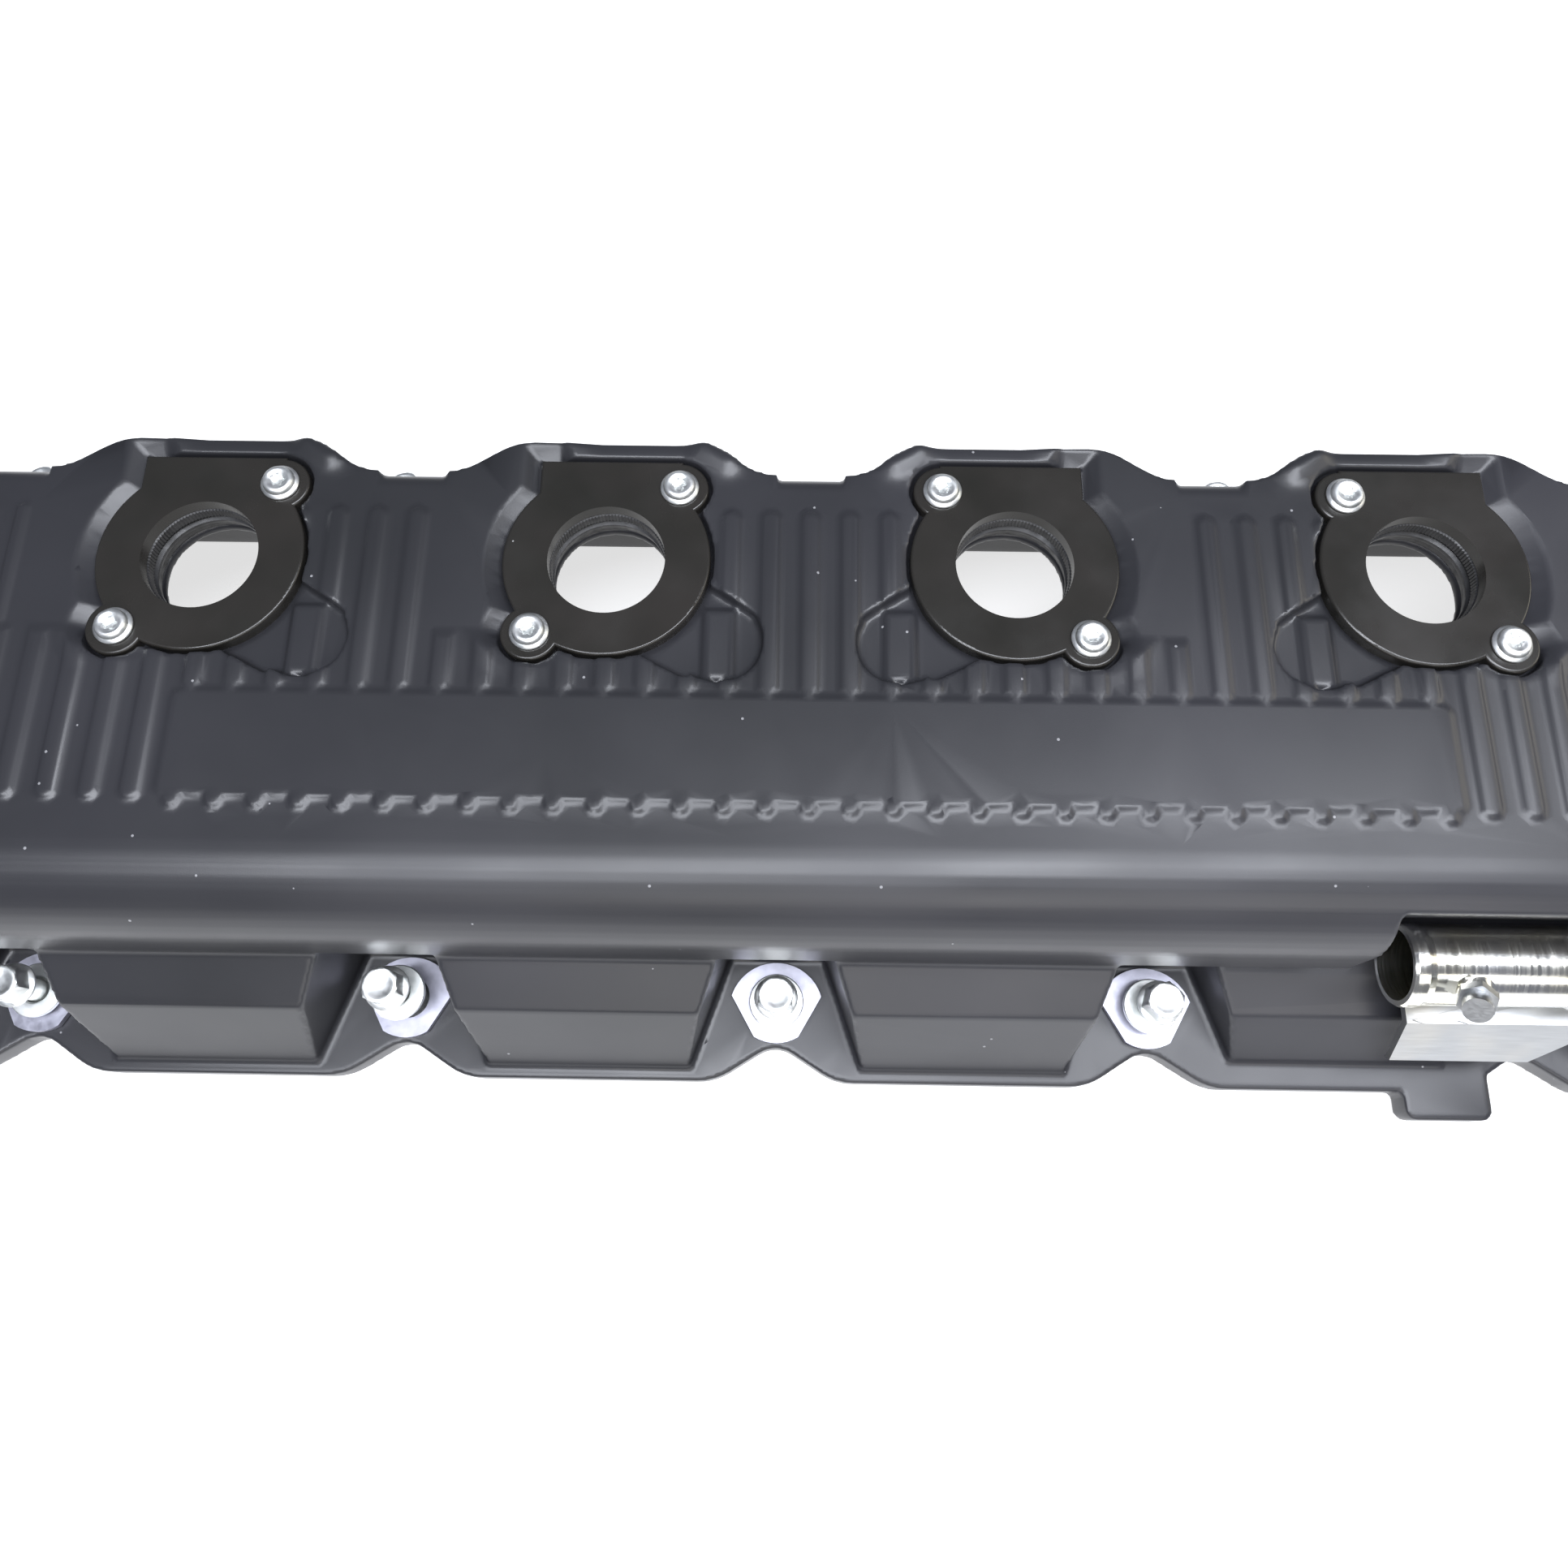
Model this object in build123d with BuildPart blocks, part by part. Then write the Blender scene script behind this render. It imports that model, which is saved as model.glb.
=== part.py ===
from build123d import *

import os

# Rocker cover of a six-cylinder spark-ignited engine, in millimetres.
# X runs along the engine, -Y is the front (manifold) side, +Z points away from the cylinder head.
# The origin lies on the sealing plane, under the middle of the row of coil openings.
# Each with block builds one physical piece, which is written to its own file.

# ---- driving dimensions -------------------------------------------------------------------------
pitch = 135.0  # cylinder to cylinder
coil_x = [pitch * (n - 2.5) for n in range(6)]
deck_z = 102.0  # top face of the cover and of the coil plates
wall = 4.0

foot_z = 1.0  # underside of the flange; the gasket stands proud below it
flange_top = 12.0
cover_half = 434.0
body_half = 422.0

front_y = -125.0  # front of the upper box
front_low_y = -117.0  # wall behind the front bolts
eave_z = 57.0  # lower edge of the upper box
rear_y = 33.0
rear_low_y = 38.0
shoulder_r = 27.0
rear_round = 7.0

# flange edge, scalloped between the bolts
front_neck, front_bay = -148.0, -162.0
rear_neck, rear_bay = 71.0, 82.0
scallop = 22.0  # length of each slanted stretch beside a bolt
bay_round, neck_round = 21.0, 11.0

gasket_w, gasket_h, gasket_inset = 4.0, 4.0, 4.0

# cover bolts
front_bolt_x = [-9.6 + pitch * n for n in range(-3, 4)]
front_bolt_y = -134.0
rear_bolt_x = [-418.0, -298.0, -157.0, -16.0, 158.0, 299.0, 418.0]
rear_bolt_y = 58.0
rear_lift = 10.0  # the rear bolts stand on taller bosses
lozenge_top = 15.0
lozenge_t = 2.5
sleeve_proud = 4.5
sleeve_flange_r = 9.8
sleeve_flange_t = 2.0
sleeve_r = 6.0
grommet_r = 9.0
bolt_shank_r = 4.0
bolt_clear_r = 4.5
bolt_len = 29.5
hex_flat = 12.0
head_h = 9.5
bolt_flange_r = 7.8
bolt_flange_t = 1.6
# how far each bolt, and one lifted sleeve, stand above their seats on the bench
front_raise = [10.5, 12.0, 19.5, 10.0, 11.5, 10.5, 11.0]
front_sleeve_lift = [0.0, 0.0, 9.5, 0.0, 2.5, 0.0, 0.0]
rear_raise = [10.5, 12.0, 11.0, 10.0, 11.5, 10.5, 11.0]

# coil plates: disc, two screw lobes on one diagonal, flat rear edge
plate_r = 34.5
plate_t = 4.5
plate_rear = 37.0
screw_dx, screw_dy = 23.3, 26.7
lobe_r = 9.7
coil_r = 19.5
seal_bore_r = 19.0
well_r = 22.5
well_bottom = 85.0
pocket_gap = 1.2
connector_dx, connector_dy, connector_r = 38.0, -28.5, 14.5
connector_depth = 3.5

# ribs and blank name panel
rib_pitch = 13.15
rib_w, rib_h = 5.2, 1.2
rib_rear, rib_front = 17.7, -84.6
panel_half, panel_rear, panel_front, panel_h = 202.5, -48.4, -83.3, 1.0

# coolant pipe in front of the cover
pipe_x0, pipe_x1 = 194.0, 344.0
pipe_y, pipe_z, pipe_r, pipe_bore_r = -124.0, 63.0, 13.3, 11.8
bead_r = 14.0

bracket_t, strap_t = 3.0, 1.5
bracket_seat = pipe_z - pipe_r - strap_t - bracket_t
bracket_screw_at = [(214.0, -126.0), (236.0, -126.0)]

os.makedirs("parts", exist_ok=True)


def save(builder, label):
    """Name a finished piece and write its STEP file."""
    builder.part.label = label
    export_step(builder.part, "parts/" + label + ".step")


def diagonal(x):
    """Screws lie on the rising diagonal left of the middle and on its mirror image on the right."""
    return 1.0 if x < 0 else -1.0


def edge_points(bolts, neck, bay):
    """One scalloped long side of the flange, from left to right."""
    points = []
    for left, right in zip(bolts[:-1], bolts[1:]):
        points += [(left, neck), (left + scallop, bay), (right - scallop, bay)]
    return points + [(bolts[-1], neck)]


def flange_face():
    """Closed flange outline with rounded scallops, in the current sketch."""
    front = edge_points(front_bolt_x, front_neck, front_bay)
    rear = edge_points(rear_bolt_x, rear_neck, rear_bay)[::-1]
    left = [(-cover_half, rear_neck - 4), (-cover_half, front_neck + 4)]
    right = [(cover_half, front_neck + 4), (cover_half, rear_neck - 4)]
    with BuildLine() as edge:
        Polyline(*left, *front, *right, *rear, close=True)
    make_face(edge.edges())


def gaps(bolts):
    """Neighbouring bolts as (left, right) pairs: one skirt bay lies between each pair."""
    return list(zip(bolts[:-1], bolts[1:]))


# half width lost at each bolt, at the wall and at the outer foot of a bay
bay_top_inset, bay_foot_inset = 15.0, 31.0
front_bay_profile = [(-110, 66), (-124, 57), (-142, 47), (-157, 14), (-157, 8), (-110, 8)]
low_bay_profile = [(-110, 42), (-124, 38), (-138, 32), (-152, 14), (-152, 8), (-110, 8)]
low_bay = 4  # the bay under the coolant pipe
rear_bay_profile = [(20, 66), (33, 57), (52, 48), (73, 24), (73, 8), (20, 8)]


def bay_plan(left, right, y_wall, y_foot, extra):
    """Plan of a bay, narrower at its foot than at the wall; extra is the wall taken off."""
    with BuildLine() as edge:
        Polyline(
            (left + bay_top_inset + extra, y_wall),
            (left + bay_foot_inset + extra, y_foot),
            (right - bay_foot_inset - extra, y_foot),
            (right - bay_top_inset - extra, y_wall),
            close=True,
        )
    make_face(edge.edges())


def bay_solid(left, right, profile, y_wall, y_foot, extra=0.0):
    """A skirt bay: its profile run along X, kept only inside its plan."""
    with BuildPart() as bay:
        with BuildSketch(Plane.YZ.offset(left)):
            with BuildLine():
                Polyline(*profile, close=True)
            make_face()
        extrude(amount=right - left)
        with BuildSketch(Plane.XY.offset(-2)):
            bay_plan(left, right, y_wall, y_foot, extra)
        extrude(amount=80, mode=Mode.INTERSECT)
    return bay.part


def inner_profile(profile, side):
    """The same profile one wall thickness inside, open at the bottom; side is -1 in front."""
    (y0, z0), (y1, z1), (y2, z2), (y3, z3) = profile[:4]
    return [
        (y0, z0 - 6),
        (y1 - side * 2, z1 - 5),
        (y2 - side * 3, z2 - 4),
        (y3 - side * 4.5, z3 - 1),
        (y3 - side * 4.5, -2),
        (y0, -2),
    ]


def gasket_face(inset, mode=Mode.ADD):
    """Line of the gasket: the flange edge moved inwards, passing behind every bolt."""
    front = []
    for left, right in gaps(front_bolt_x):
        y_bolt, y_out = front_low_y - 3 + inset, front_bay + inset
        front += [(left + 3, y_bolt), (left + 17, y_bolt)]
        front += [(left + 28, y_out), (right - 28, y_out), (right - 17, y_bolt), (right - 3, y_bolt)]
    rear = []
    for left, right in gaps(rear_bolt_x):
        y_bolt, y_out = rear_low_y + 5 - inset, rear_bay - inset
        rear += [(left + 3, y_bolt), (left + 17, y_bolt)]
        rear += [(left + 28, y_out), (right - 28, y_out), (right - 17, y_bolt), (right - 3, y_bolt)]
    half = cover_half - inset - 3
    corners = [(-half, rear_low_y + 5 - inset), (-half, front_low_y - 3 + inset)]
    ends = [(half, front_low_y - 3 + inset), (half, rear_low_y + 5 - inset)]
    with BuildLine() as line:
        Polyline(*corners, *front, *ends, *rear[::-1], close=True)
    make_face(line.edges(), mode=mode)


def connector_face(x, gap):
    """Round recess for the coil's connector, joined to the plate pocket by a wide neck."""
    d = diagonal(x)
    with Locations((x + d * connector_dx, connector_dy)):
        Circle(connector_r + gap)
    with BuildLine() as neck:
        Polyline((x + d * 33, -8), (x + d * 51, -20), (x + d * 28, -42), (x + d * 12, -34), close=True)
    make_face(neck.edges())


def pocket_face(x, gap):
    """Outline of a coil plate grown by gap, in the current sketch."""
    d = diagonal(x)
    with Locations((x, 0)):
        Circle(plate_r + gap)
    with Locations((x, plate_rear / 2 + 4)):
        Rectangle(2 * 24.0 + gap, plate_rear - 8 + 2 * gap)
    with Locations((x + d * screw_dx, screw_dy), (x - d * screw_dx, -screw_dy)):
        Circle(lobe_r + gap)


# ---- the moulded cover --------------------------------------------------------------------------
front_profiles = [front_bay_profile] * 6
front_profiles[low_bay] = low_bay_profile
front_bays = list(zip(gaps(front_bolt_x), front_profiles))
bays = [bay_solid(a, b, shape, -110, -157) for (a, b), shape in front_bays]
bays += [bay_solid(a, b, rear_bay_profile, 20, 73) for a, b in gaps(rear_bolt_x)]
rear_inside = inner_profile(rear_bay_profile, 1)
bay_hollows = [
    bay_solid(a, b, inner_profile(shape, -1), -112, shape[3][0] + 4.5, wall)
    for (a, b), shape in front_bays
]
bay_hollows += [bay_solid(a, b, rear_inside, 22, 68.5, wall) for a, b in gaps(rear_bolt_x)]
hump_foot, hump_top, hump_rear = 56.0, 27.0, 44.0
recess_gap, recess_end, recess_lean = 2.0, 12.0, 0.157
recess_len = pipe_x1 - pipe_x0 + 2 * recess_end


def inside_bar(skin):
    """Bar along X that fills the upper box up to skin behind its outer faces."""
    with BuildPart() as bar:
        with BuildSketch(Plane.YZ.offset(skin - body_half)) as section:
            with BuildLine():
                Polyline(
                    (front_low_y + skin, 0),
                    (front_low_y + skin, eave_z),
                    (front_y + skin + 1, eave_z + 5),
                    (front_y + skin + 1, deck_z - skin),
                    (rear_y - skin, deck_z - skin),
                    (rear_y + 2 - skin, eave_z),
                    (rear_low_y - skin, 0),
                    close=True,
                )
            make_face()
            fillet(section.vertices().sort_by(Axis.X)[:2].sort_by(Axis.Y)[-1], shoulder_r - skin)
        extrude(amount=2 * (body_half - skin))
    return bar.part


def recess_face(grow):
    """Round seat behind the pipe, open above and in front, with its back wall leaning forward."""
    back = pipe_y + pipe_r + recess_gap + grow
    with Locations((pipe_y, pipe_z)):
        Circle(pipe_r + recess_gap + grow)
    with BuildLine() as mouth:
        Polyline(
            (back, pipe_z),
            (back - 47 * recess_lean, pipe_z + 47),
            (front_y - 30, pipe_z + 47),
            (front_y - 30, pipe_z),
            close=True,
        )
    make_face(mouth.edges())


inside = inside_bar(wall)
with BuildPart() as thickening:
    with BuildSketch(Plane.YZ.offset(pipe_x0 - recess_end - wall)):
        recess_face(wall)
    extrude(amount=recess_len + 2 * wall)
    add(inside_bar(wall / 2), mode=Mode.INTERSECT)

with BuildPart() as rocker_cover:
    # flange
    with BuildSketch(Plane.XY.offset(foot_z)) as flange_plan:
        flange_face()
        bays_out = flange_plan.vertices().filter_by(lambda v: v.Y < front_bay + 1 or v.Y > rear_bay - 1)
        fillet(bays_out, bay_round)
        inner = flange_plan.vertices().filter_by(lambda v: front_neck - 1 < v.Y < rear_neck + 1)
        necks = inner.filter_by(lambda v: abs(v.X) < 400)
        fillet(necks, neck_round)
        with Locations((232.5, (front_bay - 171.5) / 2 + 6)):
            RectangleRounded(31, 22, 4)
    extrude(amount=flange_top - foot_z)
    # upper box with the long rounded front shoulder
    with BuildSketch(Plane.YZ.offset(-body_half)) as section:
        with BuildLine():
            Polyline(
                (front_low_y, 8),
                (front_low_y, eave_z - 4),
                (front_y, eave_z),
                (front_y + 1, deck_z),
                (rear_y, deck_z),
                (rear_y + 2, eave_z),
                (rear_low_y, 8),
                close=True,
            )
        make_face()
        fillet(section.vertices().sort_by(Axis.X)[:2].sort_by(Axis.Y)[-1], shoulder_r)
        fillet(section.vertices().sort_by(Axis.Y)[-1:].sort_by(Axis.X)[-1], rear_round)
    extrude(amount=2 * body_half)
    ends = rocker_cover.faces().filter_by(Axis.X).sort_by(SortBy.AREA)[-2:]
    fillet(ends.edges().filter_by(lambda e: e.center().Z > deck_z - 15), 6)
    # rear humps around the coil plates
    with BuildSketch(Plane.XY.offset(eave_z - 20)):
        for x in coil_x:
            with BuildLine():
                Spline((x - hump_foot, rear_y), (x - hump_top, hump_rear), tangents=((1, 0), (1, 0)))
                Line((x - hump_top, hump_rear), (x + hump_top, hump_rear))
                Spline((x + hump_top, hump_rear), (x + hump_foot, rear_y), tangents=((1, 0), (1, 0)))
                Polyline(
                    (x + hump_foot, rear_y),
                    (x + hump_foot, rear_y - 12),
                    (x - hump_foot, rear_y - 12),
                    (x - hump_foot, rear_y),
                )
            make_face()
    extrude(amount=deck_z - eave_z + 20)
    # skirt bays between the bolts
    add(bays)
    # taller bosses under the rear bolts
    with BuildSketch(Plane.XY.offset(flange_top - 1)):
        with Locations(*[(x, rear_bolt_y) for x in rear_bolt_x]):
            Circle(12.5)
    extrude(amount=rear_lift + 1)
    # hollow inside, with its wall thickened behind the pipe recess
    add(inside, mode=Mode.SUBTRACT)
    add(thickening.part)
    add(bay_hollows, mode=Mode.SUBTRACT)
    # pads that carry the pocket floors, wells under the coil openings, screw pillars
    with BuildSketch(Plane.XY.offset(deck_z - plate_t - wall)):
        for x in coil_x:
            pocket_face(x, pocket_gap + 5)
            connector_face(x, 4.5)
    extrude(amount=plate_t + wall - 1)
    with BuildSketch(Plane.XY.offset(well_bottom - 4)):
        with Locations(*[(x, 0) for x in coil_x]):
            Circle(well_r + 3.5)
    extrude(amount=deck_z - 2 - well_bottom)
    with BuildSketch(Plane.XY.offset(deck_z - 24)):
        for x in coil_x:
            d = diagonal(x)
            with Locations((x + d * screw_dx, screw_dy), (x - d * screw_dx, -screw_dy)):
                Circle(7.5)
    extrude(amount=22)
    # ribs and the blank panel
    rib_count = int((cover_half - 20) // rib_pitch)
    with BuildSketch(Plane.XY.offset(deck_z - 1)):
        for n in range(-rib_count, rib_count + 1):
            front = panel_rear + 1 if abs(n * rib_pitch) < panel_half else rib_front
            with Locations((n * rib_pitch, (rib_rear + front) / 2)):
                SlotOverall(rib_rear - front, rib_w, rotation=90)
        dots = int(panel_half // rib_pitch)
        with Locations(*[(n * rib_pitch, rib_front) for n in range(-dots, dots + 1)]):
            Circle(2.2)
    extrude(amount=rib_h + 1)
    with BuildSketch(Plane.XY.offset(deck_z - 1)):
        with Locations((0, (panel_front + panel_rear) / 2)):
            RectangleRounded(2 * panel_half, panel_rear - panel_front, 3)
    extrude(amount=panel_h + 1)
    # pockets for the plates, connector recesses, wells and screw holes
    with BuildSketch(Plane.XY.offset(deck_z + 3)):
        for x in coil_x:
            pocket_face(x, pocket_gap)
    extrude(amount=-3 - plate_t - 0.1, mode=Mode.SUBTRACT)
    with BuildSketch(Plane.XY.offset(deck_z + 3)):
        for x in coil_x:
            connector_face(x, 0)
    extrude(amount=-3 - connector_depth, mode=Mode.SUBTRACT)
    with BuildSketch(Plane.XY.offset(well_bottom)):
        with Locations(*[(x, 0) for x in coil_x]):
            Circle(well_r)
    extrude(amount=40, mode=Mode.SUBTRACT)
    with BuildSketch(Plane.XY.offset(well_bottom - 10)):
        with Locations(*[(x, 0) for x in coil_x]):
            Circle(seal_bore_r + 1)
    extrude(amount=20, mode=Mode.SUBTRACT)
    with BuildSketch(Plane.XY.offset(deck_z - 20)):
        for x in coil_x:
            d = diagonal(x)
            with Locations((x + d * screw_dx, screw_dy), (x - d * screw_dx, -screw_dy)):
                Circle(4.2)
    extrude(amount=25, mode=Mode.SUBTRACT)
    # bolt holes that hold the isolator grommets
    with BuildSketch(Plane.XY):
        with Locations(*[(x, front_bolt_y) for x in front_bolt_x]):
            Circle(grommet_r)
        with Locations(*[(x, rear_bolt_y) for x in rear_bolt_x]):
            Circle(grommet_r)
    extrude(amount=flange_top + rear_lift + 2, mode=Mode.SUBTRACT)
    # gasket groove
    with BuildSketch(Plane.XY):
        gasket_face(gasket_inset)
        gasket_face(gasket_inset + gasket_w, Mode.SUBTRACT)
    extrude(amount=gasket_h, mode=Mode.SUBTRACT)
    # bosses for the pipe bracket, with their screw holes
    with BuildSketch(Plane.XY.offset(30)):
        with Locations(*bracket_screw_at):
            Circle(5.5)
    extrude(amount=bracket_seat - 30)
    with BuildSketch(Plane.XY.offset(bracket_seat)):
        with Locations(*bracket_screw_at):
            Circle(2.6)
    extrude(amount=-9, mode=Mode.SUBTRACT)
    # recess that clears the coolant pipe
    with BuildSketch(Plane.YZ.offset(pipe_x0 - recess_end)):
        recess_face(0)
    extrude(amount=recess_len, mode=Mode.SUBTRACT)
save(rocker_cover, "rocker_cover")

# ---- gasket -------------------------------------------------------------------------------------
with BuildPart() as perimeter_gasket:
    with BuildSketch() as ring:
        gasket_face(gasket_inset)
        gasket_face(gasket_inset + gasket_w, Mode.SUBTRACT)
    extrude(amount=gasket_h)
save(perimeter_gasket, "perimeter_gasket")

# ---- coil plates, their screws and seals --------------------------------------------------------
screw_head_r, screw_head_h, screw_shank_r, screw_len = 6.5, 3.6, 2.9, 18.0
for n, x in enumerate(coil_x, start=1):
    d = diagonal(x)
    screws = [(x + d * screw_dx, screw_dy), (x - d * screw_dx, -screw_dy)]
    with BuildPart() as coil_plate:
        with BuildSketch(Plane.XY.offset(deck_z - plate_t)):
            pocket_face(x, 0)
        extrude(amount=plate_t)
        fillet(coil_plate.faces().sort_by(Axis.Z)[-1].edges(), 1.0)
        with BuildSketch(Plane.XY.offset(deck_z - plate_t)):
            with Locations((x, 0)):
                Circle(coil_r)
            with Locations(*screws):
                Circle(screw_shank_r + 0.4)
        extrude(amount=plate_t, mode=Mode.SUBTRACT)
    save(coil_plate, f"coil_plate_{n}")

    with BuildPart() as coil_seal:
        with BuildSketch(Plane(origin=(x, 0, 0), x_dir=(1, 0, 0), z_dir=(0, -1, 0))):
            with BuildLine():
                Polyline(
                    (seal_bore_r, well_bottom),
                    (well_r, well_bottom),
                    (well_r, deck_z - plate_t - 0.1),
                    (seal_bore_r, deck_z - plate_t - 0.1),
                    close=True,
                )
            make_face()
        revolve(axis=Axis((x, 0, 0), (0, 0, 1)))
    save(coil_seal, f"coil_seal_{n}")

    with BuildPart() as plate_screws:
        with BuildSketch(Plane.XY.offset(deck_z)):
            with Locations(*screws):
                Circle(screw_head_r)
        extrude(amount=screw_head_h)
        fillet(plate_screws.faces().filter_by(Plane.XY).group_by(Axis.Z)[-1].edges(), 1.6)
        with BuildSketch(Plane.XY.offset(deck_z + screw_head_h)):
            with Locations(*screws):
                RegularPolygon(2.3, 6)
        extrude(amount=-2.2, mode=Mode.SUBTRACT)
        with BuildSketch(Plane.XY.offset(deck_z)):
            with Locations(*screws):
                Circle(screw_shank_r)
        extrude(amount=-screw_len)
    save(plate_screws, f"plate_screws_{n}")

with BuildPart() as screw_inserts:
    with BuildSketch(Plane.XY.offset(deck_z - 20)):
        for x in coil_x:
            d = diagonal(x)
            with Locations((x + d * screw_dx, screw_dy), (x - d * screw_dx, -screw_dy)):
                Circle(4.2)
                Circle(2.9, mode=Mode.SUBTRACT)
    extrude(amount=20 - plate_t - 0.1)
save(screw_inserts, "screw_inserts")


# ---- isolators and cover bolts ------------------------------------------------------------------
def lozenge_face(x, y, hole_r):
    """Eye shape: round above, straight flanks below, meeting in a point left and right."""
    tip, tip_y, top_y, low_y = 16.4, 2.4, 14.5, -14.5
    with BuildLine() as eye:
        ThreePointArc((x - tip, y + tip_y), (x, y + top_y), (x + tip, y + tip_y))
        Line((x + tip, y + tip_y), (x + 8, y - 12.3))
        ThreePointArc((x + 8, y - 12.3), (x, y + low_y), (x - 8, y - 12.3))
        Line((x - 8, y - 12.3), (x - tip, y + tip_y))
    make_face(eye.edges())
    with Locations((x, y)):
        Circle(hole_r, mode=Mode.SUBTRACT)


def isolators(side, bolts, y, lift, sleeve_lift):
    """Plates, grommets and sleeves of one row, each written as a group of separate solids."""
    top = lozenge_top + lift
    with BuildPart() as plates:
        for x in bolts:
            with BuildSketch(Plane.XY.offset(top - lozenge_t)):
                lozenge_face(x, y, 7.6)
            extrude(amount=lozenge_t)
    save(plates, f"isolator_plates_{side}")
    with BuildPart() as grommets:
        with BuildSketch(Plane.XY.offset(foot_z)):
            with Locations(*[(x, y) for x in bolts]):
                Circle(grommet_r)
                Circle(sleeve_r + 0.05, mode=Mode.SUBTRACT)
        extrude(amount=top - lozenge_t - foot_z)
    save(grommets, f"isolator_grommets_{side}")
    with BuildPart() as sleeves:
        for x, up in zip(bolts, sleeve_lift):
            seat = top + sleeve_proud + up
            with BuildSketch(Plane.XY.offset(foot_z + up)):
                with Locations((x, y)):
                    Circle(sleeve_r)
                    Circle(bolt_clear_r, mode=Mode.SUBTRACT)
            extrude(amount=seat - foot_z - up)
            with BuildSketch(Plane.XY.offset(seat - sleeve_flange_t)):
                with Locations((x, y)):
                    Circle(sleeve_flange_r)
                    Circle(bolt_clear_r, mode=Mode.SUBTRACT)
            extrude(amount=sleeve_flange_t)
    save(sleeves, f"isolator_sleeves_{side}")


def cover_bolt(label, x, y, under_head, length):
    """Hex flange bolt, standing with the underside of its flange at the given height."""
    with BuildPart() as bolt:
        with BuildSketch(Plane.XY.offset(under_head)):
            with Locations((x, y)):
                Circle(bolt_flange_r)
        extrude(amount=bolt_flange_t)
        with BuildSketch(Plane.XY.offset(under_head)):
            with Locations((x, y)):
                RegularPolygon(hex_flat / 2, 6, major_radius=False)
        extrude(amount=head_h)
        chamfer(bolt.faces().sort_by(Axis.Z)[-1].edges(), 0.7)
        with BuildSketch(Plane.XY.offset(under_head)):
            with Locations((x, y)):
                Circle(bolt_shank_r)
        extrude(amount=-length)
        chamfer(bolt.faces().sort_by(Axis.Z)[0].edges(), 0.8)
    save(bolt, label)


level = [0.0] * 7
isolators("front", front_bolt_x, front_bolt_y, 0.0, front_sleeve_lift)
isolators("rear", rear_bolt_x, rear_bolt_y, rear_lift, level)
front_seat = lozenge_top + sleeve_proud
for n, (x, up) in enumerate(zip(front_bolt_x, front_raise), start=1):
    cover_bolt(f"cover_bolt_front_{n}", x, front_bolt_y, front_seat + up, bolt_len)
rear_seat = front_seat + rear_lift
for n, (x, up) in enumerate(zip(rear_bolt_x, rear_raise), start=1):
    cover_bolt(f"cover_bolt_rear_{n}", x, rear_bolt_y, rear_seat + up, bolt_len + rear_lift)

# ---- coolant pipe and its bracket ---------------------------------------------------------------
plug_seat = Vector(216.0, pipe_y - 7.5, pipe_z + 6.9)
plug_way = Vector(-0.45, -0.60, 0.66)  # up, forwards and to the left
plug_r, boss_len = 5.0, 7.0
with BuildPart() as coolant_pipe:
    with BuildSketch(Plane.XZ.offset(-pipe_y)):
        with BuildLine():
            Polyline(
                (pipe_x0, pipe_z + pipe_bore_r),
                (pipe_x0, pipe_z + bead_r - 0.6),
                (pipe_x0 + 1, pipe_z + bead_r),
                (pipe_x0 + 4.5, pipe_z + bead_r),
                (pipe_x0 + 7, pipe_z + pipe_r),
                (pipe_x1 - 7, pipe_z + pipe_r),
                (pipe_x1 - 4.5, pipe_z + bead_r),
                (pipe_x1 - 1, pipe_z + bead_r),
                (pipe_x1, pipe_z + bead_r - 0.6),
                (pipe_x1, pipe_z + pipe_bore_r),
                close=True,
            )
        make_face()
    revolve(axis=Axis((0, pipe_y, pipe_z), (1, 0, 0)))
    # boss for the drain plug, with the bore cleared again
    with BuildSketch(Plane(plug_seat, z_dir=plug_way)):
        Circle(plug_r)
    extrude(amount=boss_len)
    with BuildSketch(Plane.YZ.offset(pipe_x0)):
        with Locations((pipe_y, pipe_z)):
            Circle(pipe_bore_r)
    extrude(amount=pipe_x1 - pipe_x0, mode=Mode.SUBTRACT)
save(coolant_pipe, "coolant_pipe")

# one folded plate: level under the pipe, then sloping down in front, with a slanted right corner
bracket_x0, bracket_x1 = 203.0, 272.0
bend_y, lip_y, lip_z = -140.0, -151.0, 30.0
bracket_rear = front_low_y - 0.5
with BuildPart() as pipe_bracket:
    with BuildSketch(Plane.YZ.offset(bracket_x0)):
        with BuildLine():
            Polyline(
                (bracket_rear, bracket_seat),
                (bend_y, bracket_seat),
                (lip_y, lip_z),
                (lip_y - 1.5, lip_z + 2.6),
                (bend_y - 1.5, bracket_seat + bracket_t),
                (bracket_rear, bracket_seat + bracket_t),
                close=True,
            )
        make_face()
    extrude(amount=bracket_x1 - bracket_x0)
    with BuildSketch(Plane.XY.offset(20)):
        with BuildLine():
            Polyline(
                (bracket_x0, -110),
                (bracket_x0, -155),
                (246, -155),
                (bracket_x1, -141),
                (bracket_x1, -110),
                close=True,
            )
        make_face()
    extrude(amount=40, mode=Mode.INTERSECT)
    # two stiffening beads run from the lip up to the pipe
    for x in (205.0, 220.0):
        with BuildSketch(Plane.XY.offset(bracket_seat + 1)):
            with BuildLine():
                Polyline((x, -140.5), (x + 3, -141.5), (x + 33, -134), (x + 30, -133), close=True)
            make_face()
        extrude(amount=bracket_t)
    with BuildSketch(Plane.XY.offset(bracket_seat)):
        with Locations(*bracket_screw_at):
            Circle(3.2)
    extrude(amount=bracket_t, mode=Mode.SUBTRACT)
save(pipe_bracket, "pipe_bracket")

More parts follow.
